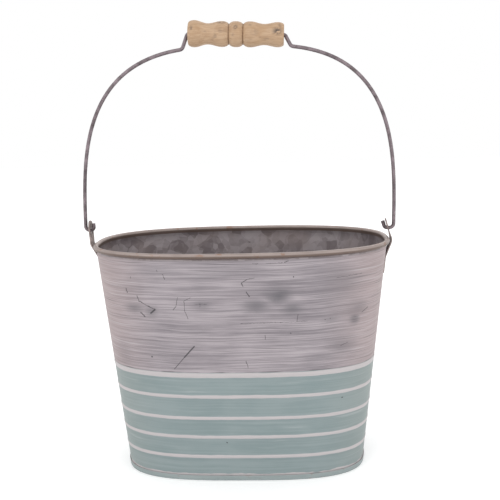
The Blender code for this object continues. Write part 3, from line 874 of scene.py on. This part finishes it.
def hem_zinc():
    """The folded base: grey outside with a thin coat of the band's colour, bright within."""
    finish = Finish("hem_zinc")
    place = finish.place
    cells = finish.split(finish.cells(place, 95).outputs["Color"])[0]
    cloud = finish.noise(finish.stretched(place, (30, 30, 400)), 1, 3)
    floor = finish.colour(finish.math("MULTIPLY_ADD", cells, 0.6, finish.math("MULTIPLY", cloud, 0.4)),
                          ZINC_DARK, ZINC_LIGHT)
    hem = finish.colour(cloud, HEM_DARK, HEM_LIGHT)
    z = finish.split(place)[2]
    lip = finish.ramp(z, HEM_HEIGHT - 0.0004, HEM_HEIGHT)
    hem = finish.colour(finish.math("MULTIPLY", lip, 0.7), hem, RIB_SHADE)
    rust = finish.ramp(finish.noise(finish.stretched(place, (160, 160, 500)), 1, 3), 0.64, 0.72)
    hem = finish.colour(finish.math("MULTIPLY", rust, 0.4), hem, RUST)
    floor_half_length, floor_half_depth = 0.0969, 0.0567
    across = finish.vector("MULTIPLY", place, (1 / floor_half_length, 1 / floor_half_depth, 0))
    x, y, _ = finish.split(across)
    squared = finish.math("ADD", finish.math("POWER", finish.math("ABSOLUTE", x), BASE_SQUARENESS),
                          finish.math("POWER", finish.math("ABSOLUTE", y), BASE_SQUARENESS))
    outside = finish.ramp(squared, 1.0, 1.02)
    colour = finish.colour(outside, floor, hem)
    finish.relief(cloud, 0.0001, 0.5)
    return finish.finish(colour, finish.math("MULTIPLY_ADD", cells, 0.2, 0.45), Metallic=0.25)


def ear_zinc(name):
    finish = Finish(name)
    cloud = finish.noise(finish.place, 260, 3)
    fine = finish.noise(finish.place, 1100, 2)
    colour = finish.colour(finish.ramp(cloud, 0.3, 0.7), EAR_DARK, EAR_LIGHT)
    rust = finish.ramp(finish.noise(finish.stretched(finish.place, (330, 330, 330), (1, 2, 3)), 1, 3),
                       0.58, 0.70)
    colour = finish.colour(finish.math("MULTIPLY", rust, 0.5), colour, DARK_RUST_AND_SHADE)
    finish.relief(fine, 0.0001, 0.5)
    return finish.finish(colour, finish.math("MULTIPLY_ADD", cloud, 0.3, 0.40), Metallic=0.35)


def dull_steel(name):
    finish = Finish(name)
    cloud = finish.noise(finish.place, 170, 3)
    fine = finish.noise(finish.place, 1300, 2)
    tone = finish.math("MULTIPLY_ADD", cloud, 0.7, finish.math("MULTIPLY", fine, 0.3))
    colour = finish.colour(finish.ramp(tone, 0.3, 0.7), STEEL_DARK, STEEL_LIGHT)
    rust = finish.ramp(finish.noise(finish.place, 420, 2), 0.62, 0.72)
    colour = finish.colour(finish.math("MULTIPLY", rust, 0.4), colour, DARK_RUST_AND_SHADE)
    finish.relief(fine, 0.00008, 0.5)
    return finish.finish(colour, finish.math("MULTIPLY_ADD", cloud, 0.3, 0.35), Metallic=0.55)


def turned_beech():
    """Pale turned wood: grain along the grip, darker grooves, ring marks and handling smudges."""
    finish = Finish("turned_beech")
    centre = grip_centre()
    turned = finish.add("Mapping", {"Vector": finish.place, "Location": tuple(-centre)})
    levelled = finish.add("Mapping", {"Vector": turned.outputs[0], "Rotation": (0, -GRIP_TILT, 0)})
    flat = levelled.outputs[0]
    along = finish.split(flat)[0]
    grain = finish.noise(finish.stretched(flat, (50, 620, 620)), 1, 3, 0.6, 0.2)
    pores = finish.noise(finish.stretched(flat, (190, 1500, 1500), (3, 0, 0)), 1, 2)
    pores = finish.ramp(pores, 0.62, 0.76)
    cloud = finish.noise(flat, 70, 2)
    colour = finish.colour(finish.ramp(grain, 0.3, 0.7), WOOD_DARK, WOOD_LIGHT)
    colour = finish.colour(finish.math("MULTIPLY", finish.ramp(cloud, 0.45, 0.75), 0.5), colour, WOOD_WARM)
    colour = finish.colour(finish.math("MULTIPLY", pores, 0.35), colour, WOOD_PORE)
    away = finish.math("ABSOLUTE", along)
    # Darker in the two grooves of the grip.
    groove = finish.ramp(finish.math("ABSOLUTE", finish.math("SUBTRACT", away, GROOVE_AT)), 0.0008, 0.0001,
                         0.0, 0.6)
    colour = finish.colour(groove, colour, WOOD_GROOVE_DARK)
    x, y, z = finish.split(flat)
    on_front = finish.math("LESS_THAN", y, 0.0)
    face = finish.join(x, 0.0, z)
    dabbed = finish.math("MULTIPLY", laid_over(finish, smudge_mask, face, GRIP_SMUDGES), on_front)
    patchy = finish.ramp(finish.noise(finish.stretched(flat, (330, 420, 420), (6, 1, 2)), 1, 2), 0.36, 0.54)
    colour = finish.colour(finish.math("MULTIPLY", finish.math("MULTIPLY", dabbed, patchy), 0.95),
                           colour, WOOD_SMUDGE)
    stained = finish.ramp(finish.noise(finish.stretched(flat, (120, 190, 190), (2, 5, 2)), 1, 3), 0.60, 0.72)
    colour = finish.colour(finish.math("MULTIPLY", stained, 0.30), colour, WOOD_SMUDGE)
    finish.relief(finish.math("MULTIPLY_ADD", pores, -0.5, grain), 0.00010, 0.4)
    return finish.finish(colour, finish.math("MULTIPLY_ADD", grain, 0.2, 0.45), Specular_IOR_Level=0.35)


# The third wash colour here and the third band colour two lines below are painted sheen for the ends of the
# wall.
WASH_DARK, WASH_LIGHT, WASH_END_SHEEN = tint(116, 110, 115), tint(165, 157, 161), tint(169, 150, 147)
WASH_STREAK, WASH_BRIGHT = tint(94, 89, 93), tint(186, 179, 182)
SMUDGE_GREY, SCRATCH_GREY, GROOVE_GREY = tint(78, 77, 82), tint(50, 48, 51), tint(92, 87, 90)
BAND_DARK, BAND_LIGHT, BAND_END_SHEEN = tint(120, 134, 135), tint(131, 143, 144), tint(136, 141, 137)
BAND_RUBBED, RIB_WHITE, RIB_SHADE = tint(168, 173, 173), tint(186, 181, 182), tint(168, 162, 163)
ZINC_DARK, ZINC_LIGHT, ZINC_BROWN = tint(116, 107, 109), tint(158, 150, 152), tint(138, 124, 120)
BEAD_DARK, BEAD_LIGHT = tint(128, 116, 112), tint(170, 156, 150)
# The dark rust colour is rust on the ears and the steel, and painted shade with rust under the rolled rim.
RUST, DARK_RUST_AND_SHADE = tint(138, 99, 74), tint(85, 68, 59)
HEM_DARK, HEM_LIGHT = tint(130, 142, 142), tint(150, 158, 158)
EAR_DARK, EAR_LIGHT = tint(112, 99, 96), tint(158, 143, 139)
STEEL_DARK, STEEL_LIGHT = tint(88, 79, 82), tint(140, 127, 132)
WOOD_DARK, WOOD_LIGHT, WOOD_WARM = tint(164, 134, 105), tint(186, 158, 130), tint(168, 136, 103)
# The second colour on the line below darkens the grip's two grooves.
WOOD_PORE, WOOD_GROOVE_DARK, WOOD_SMUDGE = tint(128, 98, 71), tint(104, 76, 54), tint(66, 58, 56)


# ------------------------------------------------------------------ the studio

def make_floor():
    bpy.ops.object.select_all(action="DESELECT")
    bpy.ops.mesh.primitive_plane_add(size=8, location=(0, 0, -0.0001))
    floor = bpy.context.object
    floor.name = "studio_floor"
    paper = Finish("studio_paper")
    paper.shader.inputs["Emission Color"].default_value = (1, 1, 1, 1)
    mottle = paper.noise(paper.place, 3, 2)
    whites = [(value, value, value, 1.0) for value in (0.93, 0.95)]
    floor.data.materials.append(paper.finish(paper.colour(mottle, *whites), 0.9, Emission_Strength=0.16))


def light(name, place, energy, size):
    bpy.ops.object.light_add(type="AREA", location=place)
    lamp = bpy.context.object
    lamp.name = name
    lamp.data.energy = energy
    lamp.data.size = size
    lamp.rotation_euler = (Vector((0, 0, 0.12)) - Vector(place)).to_track_quat("-Z", "Y").to_euler()


def make_studio():
    make_floor()
    world = bpy.data.worlds.new("studio")
    bpy.context.scene.world = world
    world.use_nodes = True
    world.node_tree.nodes["Background"].inputs["Color"].default_value = (1, 1, 1, 1)
    world.node_tree.nodes["Background"].inputs["Strength"].default_value = 1.0
    bpy.context.scene.view_settings.view_transform = "Standard"
    light("key", (-0.9, -1.3, 1.3), 8, 1.2)
    light("fill", (1.3, -0.9, 0.7), 4, 1.2)
    light("back", (0.3, 1.4, 1.2), 4, 1.2)


def make_camera():
    """Above the front and slightly to the right, looking down at the bucket."""
    around, heading, down, roll = 0.0620, 0.0515, 0.1687, -0.0266
    distance, height = 0.650, 0.28514
    flat_share = math.cos(down)
    ahead = Vector((-math.sin(heading) * flat_share, math.cos(heading) * flat_share, -math.sin(down)))
    right = Vector((math.cos(heading), math.sin(heading), 0))
    up = right.cross(ahead)
    across = math.cos(roll) * right + math.sin(roll) * up
    upward = math.cos(roll) * up - math.sin(roll) * right
    place = Vector((distance * math.sin(around), -distance * math.cos(around), height))
    view = bpy.data.cameras.new("studio_camera")
    view.sensor_width = 36
    view.lens = 57.60
    view.clip_start = 0.01
    camera = bpy.data.objects.new("studio_camera", view)
    bpy.context.scene.collection.objects.link(camera)
    turn = Matrix((across, upward, -ahead)).transposed()
    camera.matrix_world = Matrix.Translation(place) @ turn.to_4x4()
    bpy.context.scene.camera = camera


make_camera()
make_walls()
make_rolled_wire()
make_base()
make_ears()
make_bail()
make_grip()
make_studio()
